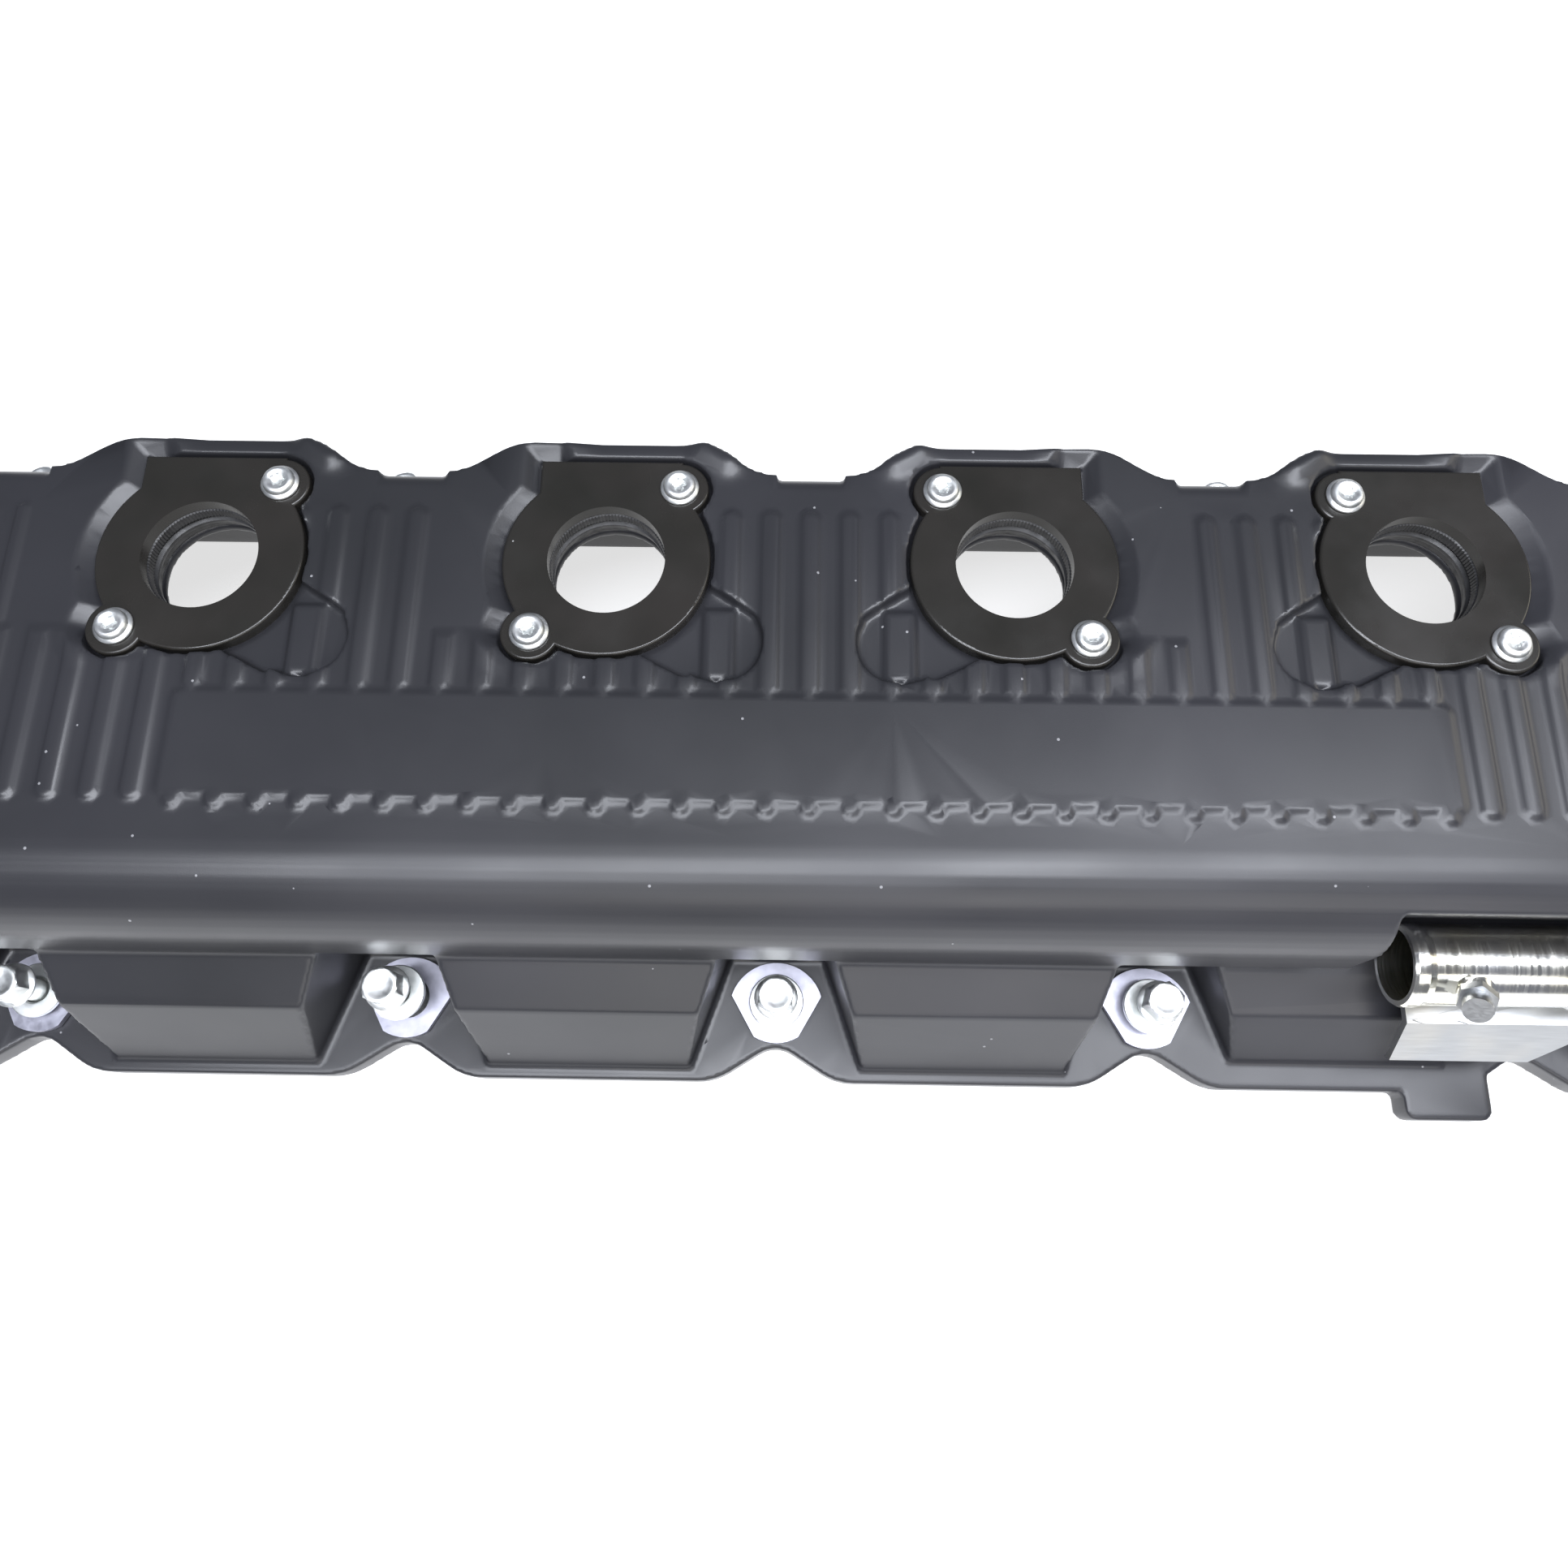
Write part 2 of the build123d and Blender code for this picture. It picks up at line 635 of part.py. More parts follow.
with BuildPart() as bracket_screws:
    with BuildSketch(Plane.XY.offset(bracket_seat + bracket_t)):
        with Locations(*bracket_screw_at):
            Circle(3.1)
    extrude(amount=-bracket_t)
    with BuildSketch(Plane.XY.offset(bracket_seat)):
        with Locations(*bracket_screw_at):
            Circle(2.6)
    extrude(amount=-9)
save(bracket_screws, "bracket_screws")

# saddle strap round the front and underside of the pipe
strap_x0, strap_x1 = 252.0, 276.0
with BuildPart() as pipe_strap:
    with BuildSketch(Plane.YZ.offset(strap_x0)):
        with Locations((pipe_y, pipe_z)):
            Circle(pipe_r + strap_t)
            Circle(pipe_r, mode=Mode.SUBTRACT)
        with Locations((pipe_y + 20, pipe_z)):
            Rectangle(40, 60, mode=Mode.SUBTRACT)
    extrude(amount=strap_x1 - strap_x0)
save(pipe_strap, "pipe_strap")

# drain plug screwed into the boss on the pipe
hex_t, cap_t = 3.5, 5.0
with BuildPart() as pipe_plug:
    with BuildSketch(Plane(plug_seat + plug_way * boss_len, z_dir=plug_way)):
        RegularPolygon(6.2, 6)
    extrude(amount=hex_t)
    with BuildSketch(Plane(plug_seat + plug_way * (boss_len + hex_t), z_dir=plug_way)):
        Circle(4.4)
    extrude(amount=cap_t)
save(pipe_plug, "pipe_plug")
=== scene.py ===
# %% [markdown]
# # Rocker cover of a six-cylinder engine
# A long black moulded cover with six coil openings, bolted down along both sides, and a bright coolant
# pipe in front of it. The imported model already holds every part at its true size, so this script gives
# each part its surface: soft moulded edges, ribbed rubber, turned steel, and finishes made from nodes.

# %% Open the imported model
from math import pi, radians, tau

import bmesh
import bpy
import numpy as np
from mathutils import Matrix, Vector


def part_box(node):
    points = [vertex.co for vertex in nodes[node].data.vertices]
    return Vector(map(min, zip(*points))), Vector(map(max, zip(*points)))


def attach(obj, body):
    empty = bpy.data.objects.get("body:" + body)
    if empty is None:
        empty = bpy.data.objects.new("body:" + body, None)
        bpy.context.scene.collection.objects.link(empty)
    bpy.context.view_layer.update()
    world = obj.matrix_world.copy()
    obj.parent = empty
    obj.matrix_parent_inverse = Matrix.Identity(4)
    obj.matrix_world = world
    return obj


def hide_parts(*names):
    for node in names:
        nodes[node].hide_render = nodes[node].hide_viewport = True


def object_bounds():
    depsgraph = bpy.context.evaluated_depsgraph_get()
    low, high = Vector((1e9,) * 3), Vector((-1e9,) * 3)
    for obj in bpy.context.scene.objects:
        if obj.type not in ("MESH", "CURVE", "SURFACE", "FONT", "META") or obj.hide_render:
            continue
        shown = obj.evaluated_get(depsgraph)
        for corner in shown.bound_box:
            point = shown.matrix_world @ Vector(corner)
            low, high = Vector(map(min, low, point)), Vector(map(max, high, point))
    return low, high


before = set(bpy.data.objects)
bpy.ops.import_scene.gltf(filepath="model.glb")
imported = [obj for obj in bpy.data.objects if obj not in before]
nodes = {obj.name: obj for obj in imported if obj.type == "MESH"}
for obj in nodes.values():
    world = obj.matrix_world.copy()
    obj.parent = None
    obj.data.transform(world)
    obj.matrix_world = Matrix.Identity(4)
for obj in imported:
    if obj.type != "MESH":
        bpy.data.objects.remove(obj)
cad_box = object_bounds()
mm = 0.001

# %% [markdown]
# ## Places read from the model
# The six openings, the fourteen bolts and the height of the deck are read from the boxes of the nodes
# that stand there. The radii of turned parts, the outline of a coil plate and the connector ledge are
# written again in the cells that use them.

# %% Openings, bolts and deck height
def centre(node):
    """Middle of a node's box."""
    low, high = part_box(node)
    return (low + high) / 2


openings = [centre(f"coil_seal_{n}") for n in range(1, 7)]
sides = ("front", "rear")
bolt_names = [f"{side}_{n}" for side in sides for n in range(1, 8)]
bolt_axis = {name: centre(f"cover_bolt_{name}") for name in bolt_names}
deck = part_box("coil_plate_1")[1].z
cover_low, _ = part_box("rocker_cover")
print("deck at", round(deck / mm, 1), "mm; openings at", [round(c.x / mm) for c in openings])


def outward(x):
    """+1 where the mirrored layout of an opening keeps its sense, -1 where it is turned round."""
    return 1.0 if x < 0 else -1.0


# %% [markdown]
# ## Camera
# The camera looks down steeply from in front, close enough that the two ends run out of the frame.

# %% Camera
camera_data = bpy.data.cameras.new("camera")
camera_data.sensor_width = 36.0
camera_data.lens = 27.02
camera_data.shift_y = -0.0043
camera_data.clip_start = 0.01
camera = bpy.data.objects.new("camera", camera_data)
bpy.context.scene.collection.objects.link(camera)
turn, tilt, roll = radians(1.314), radians(17.505), radians(-0.451)
facing = Matrix.Rotation(turn, 4, "Z") @ Matrix.Rotation(tilt, 4, "X") @ Matrix.Rotation(roll, 4, "Z")
camera.matrix_world = Matrix.Translation(Vector((-5.0, -184.9, 451.1)) * mm) @ facing
bpy.context.scene.camera = camera

# %% [markdown]
# ## Stage and light
# The cover lies on a pale sheet that glows a little, like a light table, so that the floor also shows
# bright through the coil openings. A wide softbox overhead draws the long soft streak on the shoulder.

# %% Floor, sky and softboxes
bpy.context.scene.view_settings.view_transform = "Standard"


def link(obj):
    """Put a new object into the scene."""
    bpy.context.scene.collection.objects.link(obj)
    return obj


def new_material(name, colour, roughness, metallic=0.0):
    """A material with one Principled shader; returns it with its node tree and shader."""
    material = bpy.data.materials.new(name)
    material.use_nodes = True
    shader = material.node_tree.nodes["Principled BSDF"]
    shader.inputs["Base Color"].default_value = (*colour, 1.0)
    shader.inputs["Roughness"].default_value = roughness
    shader.inputs["Metallic"].default_value = metallic
    return material, material.node_tree, shader


floor_mesh = bpy.data.meshes.new("floor")
reach = 12.0
floor_mesh.from_pydata(
    [(-reach, -reach, 0), (reach, -reach, 0), (reach, reach, 0), (-reach, reach, 0)], [], [(0, 1, 2, 3)]
)
floor = link(bpy.data.objects.new("floor", floor_mesh))
floor.location.z = cad_box[0].z - 0.0002
paper, _, paper_shader = new_material("paper", (0.55, 0.55, 0.55), 0.9)
paper_shader.inputs["Emission Color"].default_value = (1.0, 1.0, 1.0, 1.0)
paper_shader.inputs["Emission Strength"].default_value = 0.72
floor_mesh.materials.append(paper)

sky = bpy.data.worlds.new("sky")
sky.use_nodes = True
sky.node_tree.nodes["Background"].inputs["Color"].default_value = (0.82, 0.86, 1.0, 1.0)
sky.node_tree.nodes["Background"].inputs["Strength"].default_value = 0.22
bpy.context.scene.world = sky


def softbox(name, place, target, width, height, power, colour=(1.0, 1.0, 1.0)):
    """A rectangular area light at place, turned towards target."""
    data = bpy.data.lights.new(name, "AREA")
    data.shape = "RECTANGLE"
    data.size, data.size_y = width, height
    data.energy = power
    data.color = colour
    lamp = link(bpy.data.objects.new(name, data))
    lamp.location = place
    lamp.rotation_euler = (Vector(target) - Vector(place)).to_track_quat("-Z", "Y").to_euler()
    return lamp


shoulder_y = cover_low.y + 0.065
softbox("overhead", (0.1, -0.34, 1.5), (0.0, shoulder_y, deck), 2.2, 0.5, 52.0, (0.90, 0.93, 1.0))
softbox("front", (0.3, -1.25, 0.95), (0.0, -0.12, 0.04), 1.6, 0.5, 9.0, (1.0, 0.98, 0.95))
softbox("side", (1.5, 0.2, 0.7), (0.2, -0.1, 0.05), 0.7, 0.7, 4.0, (1.0, 0.93, 0.78))

# %% [markdown]
# ## Finishes
# Every finish is built from a few nodes in object space: a noise that varies the gloss, a fine bump,
# and for the plastic some dust. Object space needs no unwrapping and moves with each part.

# %% Node helpers
def add_node(tree, kind, **values):
    """A node whose input sockets are set by name."""
    node = tree.nodes.new(kind)
    for key, value in values.items():
        node.inputs[key.replace("_", " ")].default_value = value
    return node


def noise(tree, scale, detail=2.0, stretch=(1.0, 1.0, 1.0)):
    """Noise in object space; scale is in blobs per metre, stretch squeezes it along each axis."""
    place = tree.nodes.new("ShaderNodeTexCoord")
    squeeze = add_node(tree, "ShaderNodeMapping", Scale=stretch)
    texture = add_node(tree, "ShaderNodeTexNoise", Scale=scale, Detail=detail)
    tree.links.new(place.outputs["Object"], squeeze.inputs["Vector"])
    tree.links.new(squeeze.outputs["Vector"], texture.inputs["Vector"])
    return texture.outputs["Fac"]


def between(tree, fac, low, high, start=0.3, end=0.7):
    """Map a noise value to a range."""
    ramp = tree.nodes.new("ShaderNodeMapRange")
    ramp.inputs["From Min"].default_value = start
    ramp.inputs["From Max"].default_value = end
    ramp.inputs["To Min"].default_value = low
    ramp.inputs["To Max"].default_value = high
    tree.links.new(fac, ramp.inputs["Value"])
    return ramp.outputs["Result"]


def mix(tree, fac, first, second):
    """Blend two colours; each is a colour or a socket."""
    blend = tree.nodes.new("ShaderNodeMix")
    blend.data_type = "RGBA"
    tree.links.new(fac, blend.inputs["Factor"])
    for socket, value in ((blend.inputs["A"], first), (blend.inputs["B"], second)):
        if isinstance(value, tuple):
            socket.default_value = (*value, 1.0)
        else:
            tree.links.new(value, socket)
    return blend.outputs["Result"]


def bump(tree, shader, height, depth, strength=1.0):
    """Fine relief: depth is in metres."""
    node = add_node(tree, "ShaderNodeBump", Strength=strength, Distance=depth)
    tree.links.new(height, node.inputs["Height"])
    tree.links.new(node.outputs["Normal"], shader.inputs["Normal"])


def specks(tree, cells, size, share):
    """White where dust grains lie: one cell in so many holds a grain of the given relative size."""
    place = tree.nodes.new("ShaderNodeTexCoord")
    grains = add_node(tree, "ShaderNodeTexVoronoi", Scale=cells)
    tree.links.new(place.outputs["Object"], grains.inputs["Vector"])
    near = add_node(tree, "ShaderNodeMath")
    near.operation = "LESS_THAN"
    near.inputs[1].default_value = size
    tree.links.new(grains.outputs["Distance"], near.inputs[0])
    pick = tree.nodes.new("ShaderNodeSeparateColor")
    tree.links.new(grains.outputs["Color"], pick.inputs["Color"])
    chosen = tree.nodes.new("ShaderNodeMath")
    chosen.operation = "LESS_THAN"
    chosen.inputs[1].default_value = share
    tree.links.new(pick.outputs["Red"], chosen.inputs[0])
    both = tree.nodes.new("ShaderNodeMath")
    both.operation = "MULTIPLY"
    tree.links.new(near.outputs["Value"], both.inputs[0])
    tree.links.new(chosen.outputs["Value"], both.inputs[1])
    return both.outputs["Value"]


# %% Moulded plastic of the cover
def moulded_plastic():
    """Charcoal nylon: satin, a little blue, with a fine spark-eroded grain and dust."""
    material, tree, shader = new_material("moulded_plastic", (0.020, 0.0205, 0.024), 0.4)
    shader.inputs["Specular IOR Level"].default_value = 0.5
    patches = between(tree, noise(tree, 7.0), 0.0, 1.0)
    tone = mix(tree, patches, (0.016, 0.0165, 0.0185), (0.026, 0.026, 0.031))
    dusty = mix(tree, specks(tree, 95.0, 0.045, 0.45), tone, (0.22, 0.22, 0.23))
    tree.links.new(dusty, shader.inputs["Base Color"])
    tree.links.new(between(tree, noise(tree, 16.0, 4.0), 0.33, 0.42), shader.inputs["Roughness"])
    bump(tree, shader, noise(tree, 2600.0, 1.0), 0.00002, 0.6)
    return material


def plate_plastic():
    """Glossier plastic of the coil plates, a shade warmer and wiped clean."""
    material, tree, shader = new_material("plate_plastic", (0.012, 0.0115, 0.010), 0.25)
    patches = between(tree, noise(tree, 30.0), 0.0, 1.0)
    tone = mix(tree, patches, (0.013, 0.0125, 0.0105), (0.020, 0.018, 0.016))
    dusty = mix(tree, specks(tree, 110.0, 0.035, 0.2), tone, (0.25, 0.25, 0.25))
    tree.links.new(dusty, shader.inputs["Base Color"])
    tree.links.new(between(tree, noise(tree, 45.0, 3.0), 0.20, 0.33), shader.inputs["Roughness"])
    bump(tree, shader, noise(tree, 260.0, 2.0), 0.00004, 0.35)
    return material


def rubber(name, colour):
    """Matt black rubber with a faint bloom."""
    material, tree, shader = new_material(name, colour, 0.5)
    bloom = tuple(2.2 * c + 0.004 for c in colour)
    patches = between(tree, noise(tree, 140.0, 3.0), 0.0, 1.0)
    tree.links.new(mix(tree, patches, colour, bloom), shader.inputs["Base Color"])
    tree.links.new(between(tree, noise(tree, 300.0), 0.34, 0.55), shader.inputs["Roughness"])
    bump(tree, shader, noise(tree, 1400.0, 2.0), 0.00005, 0.5)
    return material


def zinc(name, light, dark, low, high, grain=900.0):
    """Zinc-plated steel: bright metal clouded by the plating, with a fine crystalline grain."""
    material, tree, shader = new_material(name, light, 0.3, 1.0)
    cloud = between(tree, noise(tree, 190.0, 4.0), 0.0, 1.0, 0.35, 0.65)
    tree.links.new(mix(tree, cloud, light, dark), shader.inputs["Base Color"])
    tree.links.new(between(tree, noise(tree, 420.0, 3.0), low, high), shader.inputs["Roughness"])
    bump(tree, shader, noise(tree, grain, 3.0), 0.00004, 0.5)
    return material


def drawn_aluminium(name, colour, patch_and_painted_reflection, low, high, stretch):
    """Aluminium with fine lines along one direction and a second tone here and there: on the pipe a painted
    yellow reflection, on the bracket a lighter warm patch.
    """
    material, tree, shader = new_material(name, colour, 0.25, 1.0)
    # Where the cloud is high the base colour turns to the second tone; on the pipe that tone is a painted
    # yellow reflection.
    cloud = between(tree, noise(tree, 28.0, 3.0), 0.0, 1.0, 0.45, 0.7)
    tree.links.new(mix(tree, cloud, colour, patch_and_painted_reflection), shader.inputs["Base Color"])
    lines = noise(tree, 1500.0, 3.0, stretch)
    tree.links.new(between(tree, lines, low, high), shader.inputs["Roughness"])
    bump(tree, shader, lines, 0.00003, 0.5)
    return material


finish = {
    "cover_plastic": moulded_plastic(),
    "plate_plastic": plate_plastic(),
    "seal_rubber": rubber("seal_rubber_black", (0.010, 0.010, 0.011)),
    "gasket_rubber": rubber("gasket_rubber_brown", (0.030, 0.018, 0.012)),
    "zinc_steel": zinc("bright_zinc", (0.94, 0.95, 0.94), (0.80, 0.83, 0.82), 0.34, 0.48),
    "zinc_grey": zinc("dull_zinc", (0.50, 0.50, 0.58), (0.40, 0.40, 0.47), 0.36, 0.5),
    "brass": zinc("brass", (0.78, 0.58, 0.27), (0.60, 0.42, 0.18), 0.25, 0.4),
    # The pipe's warm yellow second tone is a painted reflection, not a stain.
    "pipe_aluminium": drawn_aluminium(
        "turned_aluminium", (0.90, 0.90, 0.88), (0.88, 0.84, 0.66), 0.10, 0.24, (1.0, 0.04, 0.04)
    ),
    "bracket_aluminium": drawn_aluminium(
        "brushed_aluminium", (0.42, 0.43, 0.44), (0.50, 0.49, 0.46), 0.30, 0.45, (0.06, 1.0, 1.0)
    ),
}
print("finishes:", len(finish))

# %% [markdown]
# ## Parts kept from the model
# Plates, the pipe and its bracket, grommets and the gasket have the right shape already. They keep
# their meshes and get the finish that their material slot names. Those listed below also get a small
# bevel that catches the light on each edge.

# %% Finish and bevel the kept parts
def soften(obj, width, segments=2, angle=35.0):
    """Round every sharp edge by width."""
    edge = obj.modifiers.new("edge", "BEVEL")
    edge.width = width
    edge.segments = segments
    edge.limit_method = "ANGLE"
    edge.angle_limit = radians(angle)
    edge.use_clamp_overlap = True


def shade_by_angle(mesh, angle=32.0):
    """Smooth shading that keeps real corners sharp."""
    mesh.polygons.foreach_set("use_smooth", [True] * len(mesh.polygons))
    work = bmesh.new()
    work.from_mesh(mesh)
    for edge in work.edges:
        edge.smooth = len(edge.link_faces) == 2 and edge.calc_face_angle(0.0) < radians(angle)
    work.to_mesh(mesh)
    work.free()


for name, obj in nodes.items():
    slot = obj.data.materials[0].name.split(".")[0]
    obj.data.materials[0] = finish[slot]
bevelled = {"pipe_bracket": 0.5, "pipe_strap": 0.4, "pipe_plug": 0.4, "isolator_grommets_front": 0.5,
            "isolator_grommets_rear": 0.5, "isolator_plates_front": 0.45, "isolator_plates_rear": 0.45,
            "perimeter_gasket": 0.8, "coolant_pipe": 0.35}
for name, width in bevelled.items():
    soften(nodes[name], width * mm)
print("bevelled:", sorted(bevelled))

# %% [markdown]
# ## The moulded cover
# A moulding has no sharp edges anywhere. Bevelling hundreds of edges of a machined shape one by one
# would be slow and would break on the scallops. Turning a copy into small voxels and smoothing it
# rounds all of them at once, inside corners too, as a mould does.

# %% Copy the cover and add what the mould adds
def copied(name, node):
    """A new object with a copy of a node's mesh."""
    return link(bpy.data.objects.new(name, nodes[node].data.copy()))


def baked(obj):
    """Apply the modifiers of an object to its mesh."""
    result = bpy.data.meshes.new_from_object(obj.evaluated_get(bpy.context.evaluated_depsgraph_get()))
    obj.modifiers.clear()
    obj.data = result
    return obj


cover = copied("cover_shell", "rocker_cover")
ledge_w, ledge_l, ledge_h = 9.5 * mm, 24.0 * mm, 1.6 * mm
recess_floor = deck - 3.5 * mm
shape = bmesh.new()
shape.from_mesh(cover.data)
for place in openings:
    way = outward(place.x)
    ledge = Matrix.Translation((place.x + way * 38.0 * mm, place.y - 29.0 * mm, recess_floor))
    size = Matrix.Diagonal((ledge_w, ledge_l, 2 * ledge_h, 1.0))
    bmesh.ops.create_cube(shape, size=1.0, matrix=ledge @ size)
shape.to_mesh(cover.data)
shape.free()

voxel = 1.05 * mm
grain = cover.modifiers.new("voxels", "REMESH")
grain.mode = "VOXEL"
grain.voxel_size = voxel
baked(cover)
print("cover after remesh:", len(cover.data.vertices), "vertices")

# %% [markdown]
# The deck isn't flat around the openings. On the outer side of each plate it rises to a low collar
# that slopes down to the plate, and the two rear corners of each hump stand up as ears. These are
# smooth changes of height, so they are written as distances to the outline and moved in one go.

# %% Collars and ears around the plates
points = np.empty(len(cover.data.vertices) * 3)
cover.data.vertices.foreach_get("co", points)
points = points.reshape(-1, 3) / mm
top = deck / mm
plate_r, plate_rear, plate_side = 34.5, 37.0, 24.0
lobe_x, lobe_y, lobe_r = 23.3, 26.7, 9.7
gap = 1.2


def plate_distance(u, v):
    """Distance in mm outside the pocket; u runs towards the connector, v to the rear."""
    disc = np.hypot(u, v) - plate_r
    tail = np.maximum(np.abs(u) - plate_side, np.maximum(v - plate_rear, 8.0 - v))
    lobes = [np.hypot(u - s * lobe_x, v - s * lobe_y) - lobe_r for s in (1, -1)]
    return np.minimum(np.minimum(disc, tail), np.minimum(*lobes)) - gap


def ridge(u, v, start, end, width):
    """1 on the line from start to end, falling softly to 0 over width."""
    a, b = np.array(start), np.array(end)
    along = b - a
    t = np.clip(((u - a[0]) * along[0] + (v - a[1]) * along[1]) / (along @ along), 0, 1)
    away = np.hypot(u - a[0] - t * along[0], v - a[1] - t * along[1])
    return np.exp(-((away / width) ** 2))


skin = points[:, 2] > top - 8
for place in openings:
    u = outward(place.x) * (points[:, 0] - place.x / mm)
    v = points[:, 1] - place.y / mm
    near = skin & (np.abs(u) < 60) & (v > -60)
    un, vn, z = u[near], v[near], points[near, 2]
    out = plate_distance(un, vn)
    outer = np.clip((-un - 4) / 14, 0, 1) * np.clip((vn + 42) / 16, 0, 1)
    collar = 1.5 * outer * np.exp(-(((out - 5.0) / 3.6) ** 2))
    ears = 3.0 * ridge(un, vn, (-41, 35), (-27, 42), 6.0) + 2.8 * ridge(un, vn, (31, 42), (39, 37), 4.5)
    lift = np.where(out > 0, collar + ears, 0) * np.clip((z - top + 6) / 5, 0, 1)
    z = z + lift
    slope = top - 3.6 * np.clip(1 - out / 5.0, 0, 1)
    limit = np.where((out > -0.6) & (outer > 0.02), slope * outer + (1 - outer) * (top + 6), top + 9)
    points[near, 2] = np.minimum(z, limit)
cover.data.vertices.foreach_set("co", (points * mm).ravel())

relax = cover.modifiers.new("relax", "SMOOTH")
relax.factor = 0.5
relax.iterations = 3
thin = cover.modifiers.new("thin", "DECIMATE")
thin.ratio = 190000 / (2 * len(cover.data.polygons))
baked(cover)
cover.data.polygons.foreach_set("use_smooth", [True] * len(cover.data.polygons))
cover.data.materials.clear()
cover.data.materials.append(finish["cover_plastic"])
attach(cover, "cover")
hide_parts("rocker_cover")
print("cover:", len(cover.data.polygons), "faces")

# %% [markdown]
# ## Turned parts
# Screws, bolts, sleeves and seals are all turned about an axis. One helper stacks rings
# along that axis; a ring can be round, six-sided or star-shaped, so hexagon heads and recesses come
# from the same code as plain collars.

# %% A helper that stacks rings
def round_ring(r):
    """A circle."""
    return lambda angle: np.full_like(angle, r)


def hex_ring(r, flat):
    """A hexagon of the given half width across flats, cut back to a circle of radius r."""
    def radius(angle):
        return np.minimum(r, flat / np.cos((angle + pi / 6) % (pi / 3) - pi / 6))
    return radius


def star_ring(r, depth, count=6):
    """A circle with rounded lobes."""
    return lambda angle: r + depth * np.cos(count * angle)


def stacked(name, rings, where, steps=72, closed=False):
    """Skin a list of (height, ring) in mm, turned about local Z and placed by a matrix."""
    angle = np.arange(steps) * tau / steps
    rows = []
    for height, ring in rings:
        r = (ring if callable(ring) else round_ring(ring))(angle)
        rows.append(np.column_stack([r * np.cos(angle), r * np.sin(angle), np.full(steps, height)]))
    faces = []
    count = len(rows)
    for i in range(count if closed else count - 1):
        a, b = i * steps, (i + 1) % count * steps
        faces += [(a + j, a + (j + 1) % steps, b + (j + 1) % steps, b + j) for j in range(steps)]
    if not closed:
        faces.append(tuple(range(steps))[::-1])
        faces.append(tuple(range((count - 1) * steps, count * steps)))
    mesh = bpy.data.meshes.new(name)
    mesh.from_pydata((np.vstack(rows) * mm).tolist(), [], faces)
    mesh.transform(where)
    mesh.update()
    work = bmesh.new()
    work.from_mesh(mesh)
    bmesh.ops.recalc_face_normals(work, faces=work.faces)
    work.to_mesh(mesh)
    work.free()
    shade_by_angle(mesh)
    return mesh


def joined(name, meshes, slot, body, replaced):
    """Several meshes as one piece, with its finish, on its body, standing for CAD nodes."""
    work = bmesh.new()
    for mesh in meshes:
        work.from_mesh(mesh)
    result = bpy.data.meshes.new(name)
    work.to_mesh(result)
    work.free()
    result.materials.append(finish[slot])
    piece = link(bpy.data.objects.new(name, result))
    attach(piece, body)
    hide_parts(*replaced)
    return piece


def upright(x, y, z):
    """Placement of a part turned about a vertical axis, in metres."""
    return Matrix.Translation((x, y, z))


# %% [markdown]
# ## Coil seals
# Each opening is lined with a short rubber sleeve. Its mouth has a knurled band, and below a groove a
# lip stands into the bore and grips the coil.

# %% Seals in the openings
def seal_mesh(place, low, high):
    """Sleeve with a knurled mouth and one lip, closed round its wall."""
    height = (high - low) / mm
    bore, wall = 19.2, 22.4
    mouth = star_ring(bore + 0.05, 0.16, 108)
    inner = [
        (height, bore + 1.2), (height - 0.5, bore + 0.4), (height - 0.8, mouth), (height - 4.2, mouth),
        (height - 4.6, bore + 0.9), (height - 6.0, bore + 1.1), (height - 6.8, bore - 0.1),
        (height - 7.7, bore - 0.15), (height - 8.6, bore + 0.1), (height - 9.4, bore + 1.0),
        (0.8, bore + 1.0), (0.0, bore + 1.4),
    ]
    outer = [(0.0, wall - 0.4), (0.6, wall), (height - 0.6, wall), (height, wall - 0.5)]
    return stacked("seal", inner + outer, upright(place.x, place.y, low), 432, closed=True)


for n, place in enumerate(openings, start=1):
    low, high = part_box(f"coil_seal_{n}")
    lining = seal_mesh(place, low.z, high.z)
    joined(f"seal_sleeve_{n}", [lining], "seal_rubber", "cover", [f"coil_seal_{n}"])
print("seals:", len(openings))

# %% [markdown]
# ## Plate screws
# Two flanged screws hold each plate. Their heads are pressed: a rounded flange, a flat crown, and a
# star-shaped recess in a shallow dish.

# %% Screws of the coil plates
def screw_mesh(x, y, seat, low):
    """Flanged screw with a star recess; seat is the underside of its head."""
    shank = (low - seat) / mm
    star = star_ring(1.95, 0.28)
    rings = [
        (shank, 1.9), (shank + 1.2, 2.8), (-0.02, 2.85), (0.0, 6.1), (0.35, 6.45), (0.9, 6.45),
        (1.35, 6.1), (1.75, 5.5), (2.5, 5.25), (3.15, 4.9), (3.5, 4.3), (3.55, 3.6), (3.3, 3.1),
        (3.05, 2.6), (3.0, star_ring(2.25, 0.30)), (2.7, star), (1.5, star), (1.1, 1.0),
    ]
    return stacked("screw", rings, upright(x, y, seat), 48)


for n, place in enumerate(openings, start=1):
    low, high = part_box(f"plate_screws_{n}")
    lean = outward(place.x)
    half = (high.x - low.x) / 2 - 6.5 * mm
    depth = (high.y - low.y) / 2 - 6.5 * mm
    pair = [
        screw_mesh(place.x + s * lean * half, place.y + s * depth, deck + 0.01 * mm, low.z) for s in (1, -1)
    ]
    joined(f"star_screws_{n}", pair, "zinc_steel", "cover", [f"plate_screws_{n}"])
print("screws:", 2 * len(openings))

# %% [markdown]
# ## Cover bolts
# Each cover bolt is cold-headed: a collar, a hexagon whose top corners are turned away by a cone, and a
# shallow dish in the top. The lower part of its shank is threaded. Every bolt rides on its own body,
# because it stays in its sleeve and can be lifted.

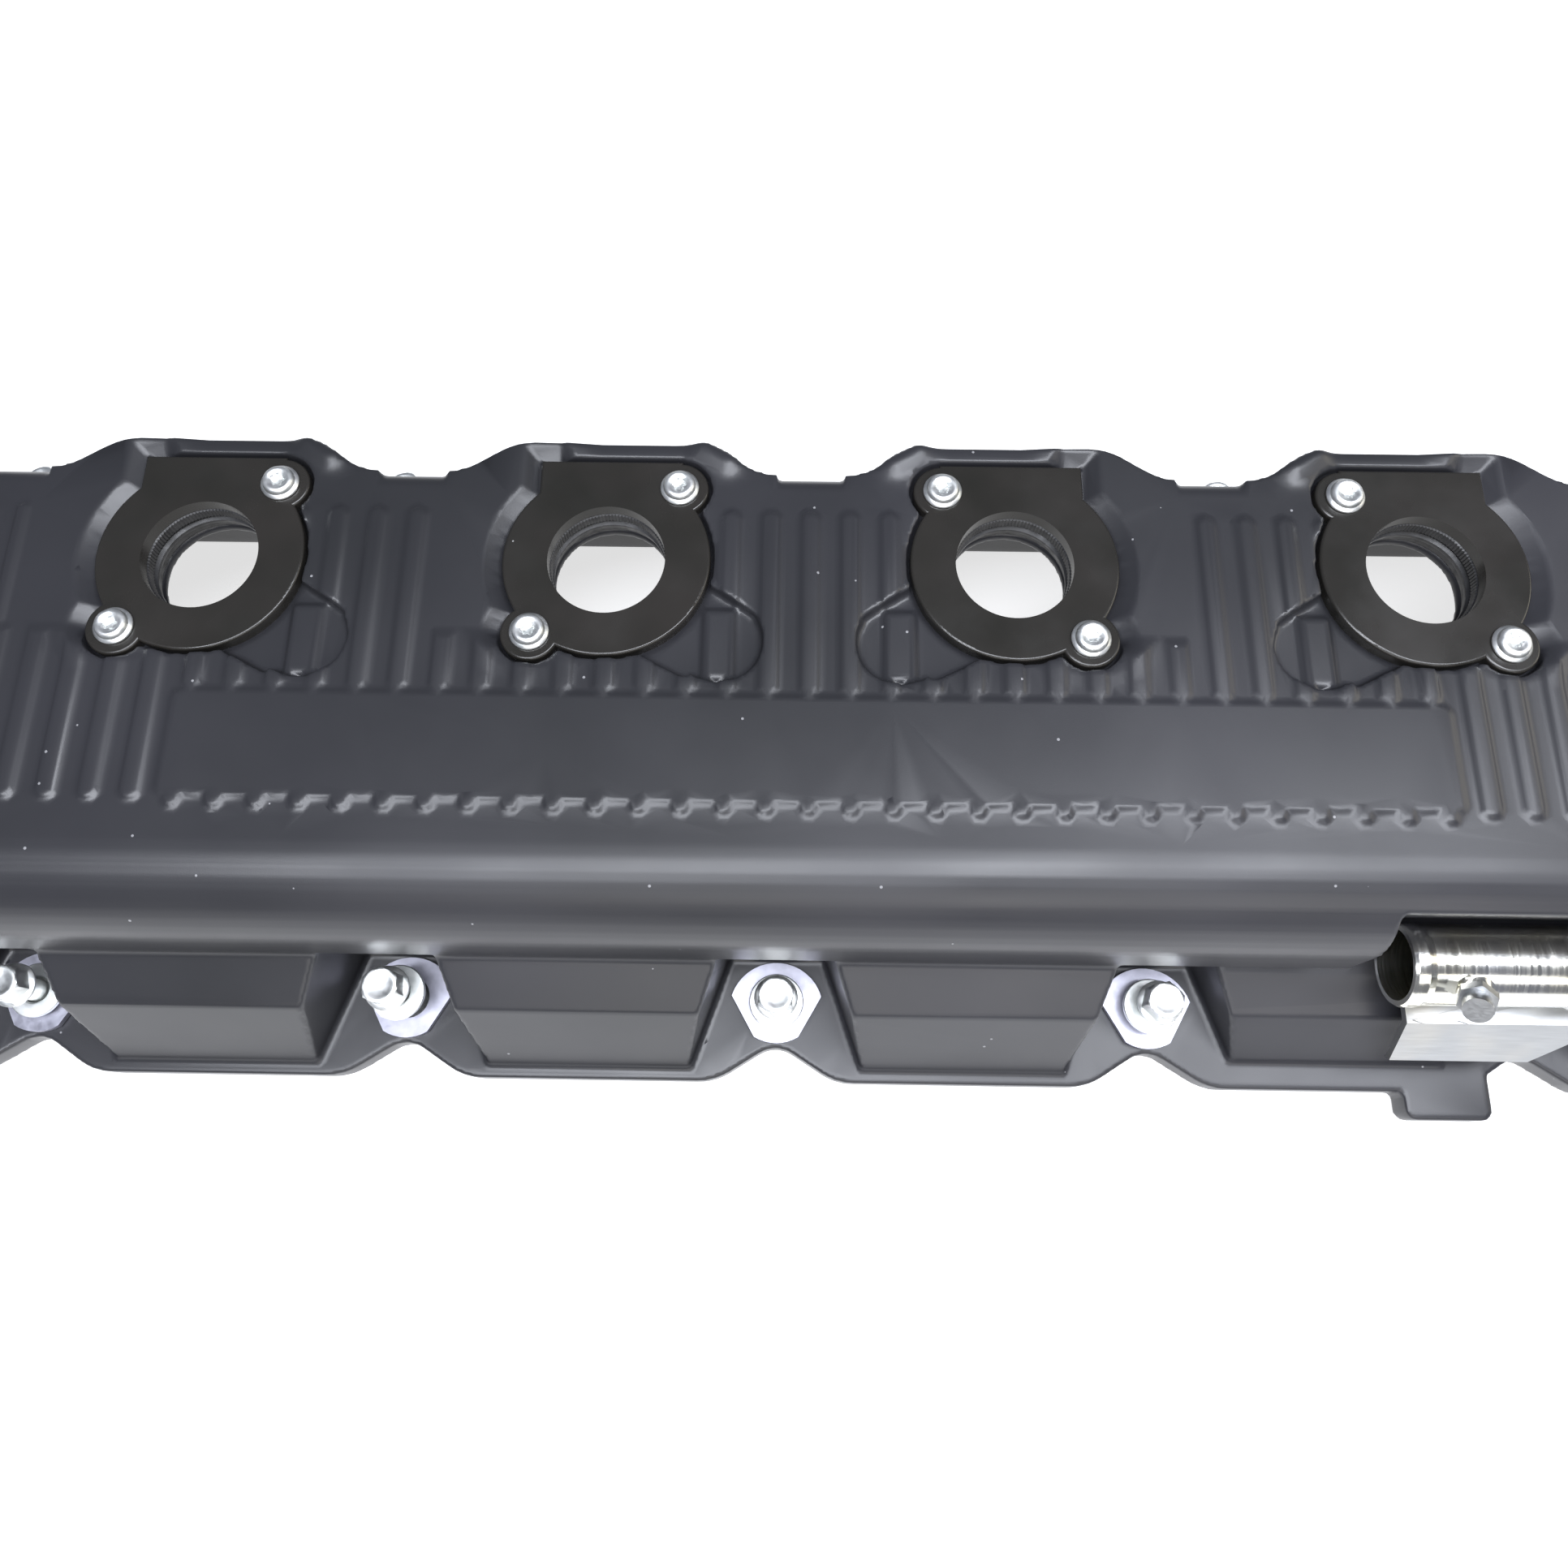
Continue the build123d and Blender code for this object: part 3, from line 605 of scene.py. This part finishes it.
# %% Hexagon flange bolts
def bolt_mesh(name):
    """Bolt between the heights of its CAD node, on the node's axis."""
    low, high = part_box(f"cover_bolt_{name}")
    axis = bolt_axis[name]
    head = 9.5
    seat = (high.z - low.z) / mm - head
    flat, corner = 6.0, 6.92
    rings = [(0.0, 2.6), (0.7, 3.2)]
    pitch, thread_len = 1.25, 14.0
    for i in range(int(thread_len / pitch)):
        rings += [(0.8 + i * pitch, 3.3), (0.8 + (i + 0.45) * pitch, 3.95), (0.8 + (i + 0.6) * pitch, 3.95)]
    rings += [(0.8 + thread_len, 3.3), (1.6 + thread_len, 3.95), (seat - 0.01, 3.98)]
    rings += [(seat, 7.35), (seat + 0.35, 7.75), (seat + 1.1, 7.75), (seat + 1.5, 7.3)]
    rings += [(seat + 1.9, hex_ring(6.97, flat)), (seat + head - 1.2, hex_ring(corner, flat))]
    rings += [(seat + head - 0.5, hex_ring(6.3, flat)), (seat + head - 0.1, 5.75), (seat + head, 5.3)]
    rings += [(seat + head, 4.6), (seat + head - 0.35, 3.9), (seat + head - 0.6, 1.5)]
    turned = Matrix.Rotation(radians(17.0 * len(name) + 360.0 * axis.x), 4, "Z")
    return stacked("bolt", rings, upright(axis.x, axis.y, low.z) @ turned, 72)


for name in bolt_names:
    joined(f"flange_bolt_{name}", [bolt_mesh(name)], "zinc_steel", f"bolt_{name}", [f"cover_bolt_{name}"])
print("bolts:", len(bolt_names))

# %% [markdown]
# ## Isolators
# Under each bolt head stands a flanged sleeve in a rubber grommet, and an eye-shaped steel plate keeps
# the grommet in its hole. Plate and grommet keep their meshes; the sleeves are turned again here, with
# chamfers at both ends.

# %% Sleeves
def column(node, x, y, near=12.0 * mm):
    """Lowest and highest point of a node around a vertical axis."""
    co = np.array([vertex.co for vertex in nodes[node].data.vertices])
    close = co[np.hypot(co[:, 0] - x, co[:, 1] - y) < near]
    return close[:, 2].min(), close[:, 2].max()


def sleeve_mesh(x, y, low, high):
    """Flanged tube with chamfered mouth."""
    h = (high - low) / mm
    rings = [
        (0.0, 4.7), (0.0, 5.7), (0.4, 6.0), (h - 2.0, 6.0), (h - 1.9, 9.4), (h - 1.5, 9.8), (h - 0.5, 9.8),
        (h - 0.1, 9.5), (h, 9.0), (h, 5.2), (h - 0.5, 4.6), (0.4, 4.5),
    ]
    return stacked("sleeve", rings, upright(x, y, low), 64, closed=True)


for side in sides:
    sleeves = []
    for n in range(1, 8):
        axis = bolt_axis[f"{side}_{n}"]
        sleeves.append(sleeve_mesh(axis.x, axis.y, *column(f"isolator_sleeves_{side}", axis.x, axis.y)))
    joined(f"sleeves_{side}", sleeves, "zinc_steel", "cover", [f"isolator_sleeves_{side}"])
print("sleeves:", len(bolt_names))

# %% [markdown]
# ## Sizes
# The box of the imported model is printed. The shown model has to stay inside the box of the imported
# model.

# %% Print the box of the imported model
print("cad box:", [[round(v, 4) for v in c] for c in cad_box])
